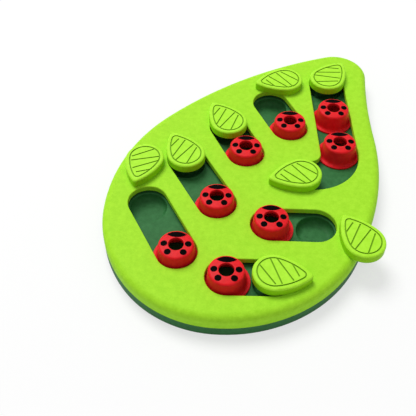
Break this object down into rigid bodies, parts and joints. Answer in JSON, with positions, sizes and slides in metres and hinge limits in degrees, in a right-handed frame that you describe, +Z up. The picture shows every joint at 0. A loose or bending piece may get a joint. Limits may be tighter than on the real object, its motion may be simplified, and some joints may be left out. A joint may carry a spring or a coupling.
{
  "type": "pet treat puzzle board",
  "caption": "Leaf-shaped treat puzzle board with treat cups, hollow ladybug sliders in slots, and leaf-shaped lids that swivel over the cups.",
  "frame": {"origin": "middle of the board's length and width, on the surface that it stands on", "axes": "+Z up, +Y from the round front towards the tip, +X to the right"},
  "size_m": [0.2695, 0.3605, 0.036],
  "materials": {
    "lime": "fine moulded grain",
    "leaf_lime": "smooth satin moulding",
    "dark_green": "fine moulded grain",
    "red": "satin moulding",
    "black": "satin",
    "steel": "plain zinc",
    "rubber": "matt"
  },
  "bodies": {
    "board": {"base_tray": "dark_green", "top_cover": "lime", "case_screws": "steel", "rubber_feet": "rubber"},
    "ladybug_1": {"ladybug_shell_1": "red", "ladybug_spots_1": "black"},
    "ladybug_2": {"ladybug_shell_2": "red", "ladybug_spots_2": "black"},
    "ladybug_3": {"ladybug_shell_3": "red", "ladybug_spots_3": "black"},
    "ladybug_4": {"ladybug_shell_4": "red", "ladybug_spots_4": "black"},
    "ladybug_5": {"ladybug_shell_5": "red", "ladybug_spots_5": "black"},
    "ladybug_6": {"ladybug_shell_6": "red", "ladybug_spots_6": "black"},
    "ladybug_7": {"ladybug_shell_7": "red", "ladybug_spots_7": "black"},
    "ladybug_8": {"ladybug_shell_8": "red", "ladybug_spots_8": "black"},
    "leaf_1": {"leaf_cover_1": "leaf_lime", "leaf_screw_1": "steel"},
    "leaf_2": {"leaf_cover_2": "leaf_lime", "leaf_screw_2": "steel"},
    "leaf_3": {"leaf_cover_3": "leaf_lime", "leaf_screw_3": "steel"},
    "leaf_4": {"leaf_cover_4": "leaf_lime", "leaf_screw_4": "steel"},
    "leaf_5": {"leaf_cover_5": "leaf_lime", "leaf_screw_5": "steel"},
    "leaf_6": {"leaf_cover_6": "leaf_lime", "leaf_screw_6": "steel"},
    "leaf_7": {"leaf_cover_7": "leaf_lime", "leaf_screw_7": "steel"},
    "leaf_8": {"leaf_cover_8": "leaf_lime", "leaf_screw_8": "steel"}
  },
  "joints": [
    {"name": "ladybug_1_slide", "type": "slide", "parent": "board", "child": "ladybug_1", "axis": [0.4772, -0.8788, 0], "range_m": [-0.065, 0]},
    {"name": "ladybug_2_slide", "type": "slide", "parent": "board", "child": "ladybug_2", "axis": [-0.4924, 0.8704, 0], "range_m": [0, 0.028]},
    {"name": "ladybug_3_slide", "type": "slide", "parent": "board", "child": "ladybug_3", "axis": [-0.4384, 0.8988, 0], "range_m": [0, 0.005]},
    {"name": "ladybug_4_slide", "type": "slide", "parent": "board", "child": "ladybug_4", "axis": [-0.4305, 0.9026, 0], "range_m": [0, 0.036]},
    {"name": "ladybug_5_slide", "type": "slide", "parent": "board", "child": "ladybug_5", "axis": [1, 0, 0], "range_m": [0, 0.041]},
    {"name": "ladybug_6_slide", "type": "slide", "parent": "board", "child": "ladybug_6", "axis": [0.9998, 0.0175, 0], "range_m": [0, 0.004]},
    {"name": "ladybug_7_slide", "type": "slide", "parent": "board", "child": "ladybug_7", "axis": [-0.0436, 0.999, 0], "range_m": [-0.004, 0.015]},
    {"name": "ladybug_8_round_the_bend", "type": "hinge", "parent": "board", "child": "ladybug_8", "pos_m": [0.0575, 0.018, 0.0254], "axis": [0, 0, 1], "range_deg": [-42, 6]},
    {"name": "leaf_1_swivel", "type": "hinge", "parent": "board", "child": "leaf_1", "pos_m": [-0.1059, -0.03115, 0.0254], "axis": [0, 0, 1], "range_deg": [0, 220]},
    {"name": "leaf_2_swivel", "type": "hinge", "parent": "board", "child": "leaf_2", "pos_m": [-0.0733, 0.02607, 0.0254], "axis": [0, 0, 1], "range_deg": [0, 55]},
    {"name": "leaf_3_swivel", "type": "hinge", "parent": "board", "child": "leaf_3", "pos_m": [-0.03332, 0.07439, 0.0254], "axis": [0, 0, 1], "range_deg": [0, 100]},
    {"name": "leaf_4_swivel", "type": "hinge", "parent": "board", "child": "leaf_4", "pos_m": [0.01587, 0.11635, 0.0254], "axis": [0, 0, 1], "range_deg": [-81, 45]},
    {"name": "leaf_5_swivel", "type": "hinge", "parent": "board", "child": "leaf_5", "pos_m": [0.09046, -0.07659, 0.0254], "axis": [0, 0, 1], "range_deg": [-116.5, 30]},
    {"name": "leaf_6_swivel", "type": "hinge", "parent": "board", "child": "leaf_6", "pos_m": [0.04989, -0.13915, 0.0254], "axis": [0, 0, 1], "range_deg": [0, 100]},
    {"name": "leaf_7_swivel", "type": "hinge", "parent": "board", "child": "leaf_7", "pos_m": [0.10379, 0.14825, 0.0254], "axis": [0, 0, 1], "range_deg": [-70, 75]},
    {"name": "leaf_8_swivel", "type": "hinge", "parent": "board", "child": "leaf_8", "pos_m": [0.02717, -0.0262, 0.0254], "axis": [0, 0, 1], "range_deg": [-45, 60]}
  ]
}
